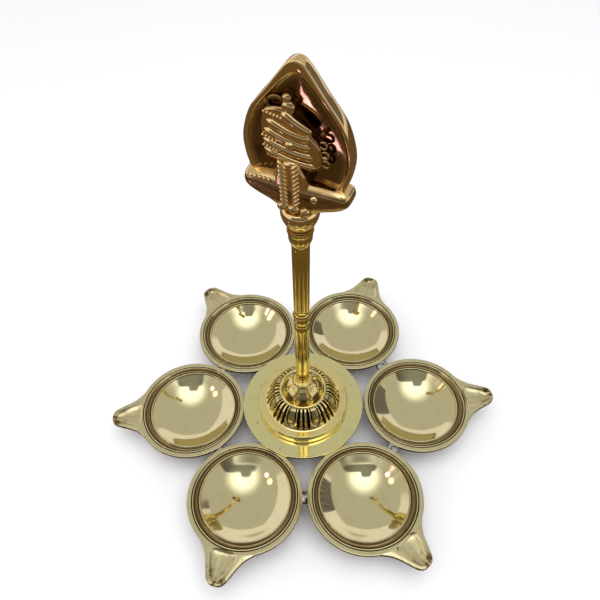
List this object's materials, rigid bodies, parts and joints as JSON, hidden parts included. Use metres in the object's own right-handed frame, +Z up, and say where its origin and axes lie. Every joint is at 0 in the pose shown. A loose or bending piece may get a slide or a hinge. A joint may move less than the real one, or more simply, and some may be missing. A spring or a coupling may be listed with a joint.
{
  "type": "standing oil lamp",
  "caption": "Standing brass oil lamp: spouted cups soldered around a mirror plate, fluted pedestal, and a screwed stem carrying a leaf finial.",
  "frame": {"origin": "on the surface the lamp stands on, under the stem's axis", "axes": "+Z up along the stem, -Y toward the front, from where the leaf finial shows its ornament, +X to the viewer's right"},
  "size_m": [0.194, 0.171, 0.2066],
  "materials": {
    "cup_brass": "lathe-turned and mirror-polished, pale khaki gold, with a rough cast spout",
    "plate_brass": "flat mirror polish with fine scratches and a few pits",
    "turned_brass": "polished turned and cast brass, rich yellow gold",
    "finial_bronze": "polished casting with a warm bronze tone, darker in its recesses",
    "solder": "dull grey soft solder"
  },
  "bodies": {
    "base": {"center_plate": "plate_brass", "pedestal": "turned_brass", "tie_stud": "turned_brass", "diya_1": "cup_brass", "solder_link_1": "solder", "plate_solder_1": "solder", "diya_2": "cup_brass", "solder_link_2": "solder", "plate_solder_2": "solder", "diya_3": "cup_brass", "solder_link_3": "solder", "plate_solder_3": "solder", "diya_4": "cup_brass", "solder_link_4": "solder", "plate_solder_4": "solder", "diya_5": "cup_brass", "solder_link_5": "solder", "plate_solder_5": "solder", "diya_6": "cup_brass", "solder_link_6": "solder", "plate_solder_6": "solder"},
    "base_washer": {"base_washer": "turned_brass"},
    "base_nut": {"base_nut": "turned_brass"},
    "stem_foot_ring": {"stem_foot_ring": "turned_brass"},
    "lower_stem": {"lower_stem": "turned_brass", "joint_stud": "turned_brass"},
    "stem_ring": {"stem_ring": "turned_brass"},
    "upper_stem": {"upper_stem": "turned_brass"},
    "finial_collar": {"finial_collar": "turned_brass"},
    "finial": {"finial_knob": "finial_bronze", "finial_stud": "turned_brass", "finial_leaf": "finial_bronze"}
  },
  "joints": [
    {"name": "nut_drop", "type": "slide", "parent": "base", "child": "base_washer", "axis": [0, 0, -1], "range_m": [0, 0.0021]},
    {"name": "nut_turn", "type": "hinge", "parent": "base_washer", "child": "base_nut", "pos_m": [0, 0, 0.014], "axis": [0, 0, -1], "range_deg": [0, 1081]},
    {"name": "lower_stem_turn", "type": "hinge", "parent": "base", "child": "stem_foot_ring", "pos_m": [0, 0, 0.0414], "axis": [0, 0, 1], "range_deg": [0, 3601]},
    {"name": "lower_stem_rise", "type": "slide", "parent": "stem_foot_ring", "child": "lower_stem", "axis": [0, 0, 1], "range_m": [0, 0.007]},
    {"name": "upper_stem_turn", "type": "hinge", "parent": "lower_stem", "child": "stem_ring", "pos_m": [0, 0, 0.0865], "axis": [0, 0, 1], "range_deg": [0, 3601]},
    {"name": "upper_stem_rise", "type": "slide", "parent": "stem_ring", "child": "upper_stem", "axis": [0, 0, 1], "range_m": [0, 0.007]},
    {"name": "finial_turn", "type": "hinge", "parent": "upper_stem", "child": "finial_collar", "pos_m": [0, 0, 0.1354], "axis": [0, 0, 1], "range_deg": [0, 3601]},
    {"name": "finial_rise", "type": "slide", "parent": "finial_collar", "child": "finial", "axis": [0, 0, 1], "range_m": [0, 0.007]}
  ],
  "couplings": [
    {"joint": "nut_turn", "follows": "nut_drop", "rad_per_m": 8976},
    {"joint": "lower_stem_turn", "follows": "lower_stem_rise", "rad_per_m": 8976},
    {"joint": "upper_stem_turn", "follows": "upper_stem_rise", "rad_per_m": 8976},
    {"joint": "finial_turn", "follows": "finial_rise", "rad_per_m": 8976}
  ]
}
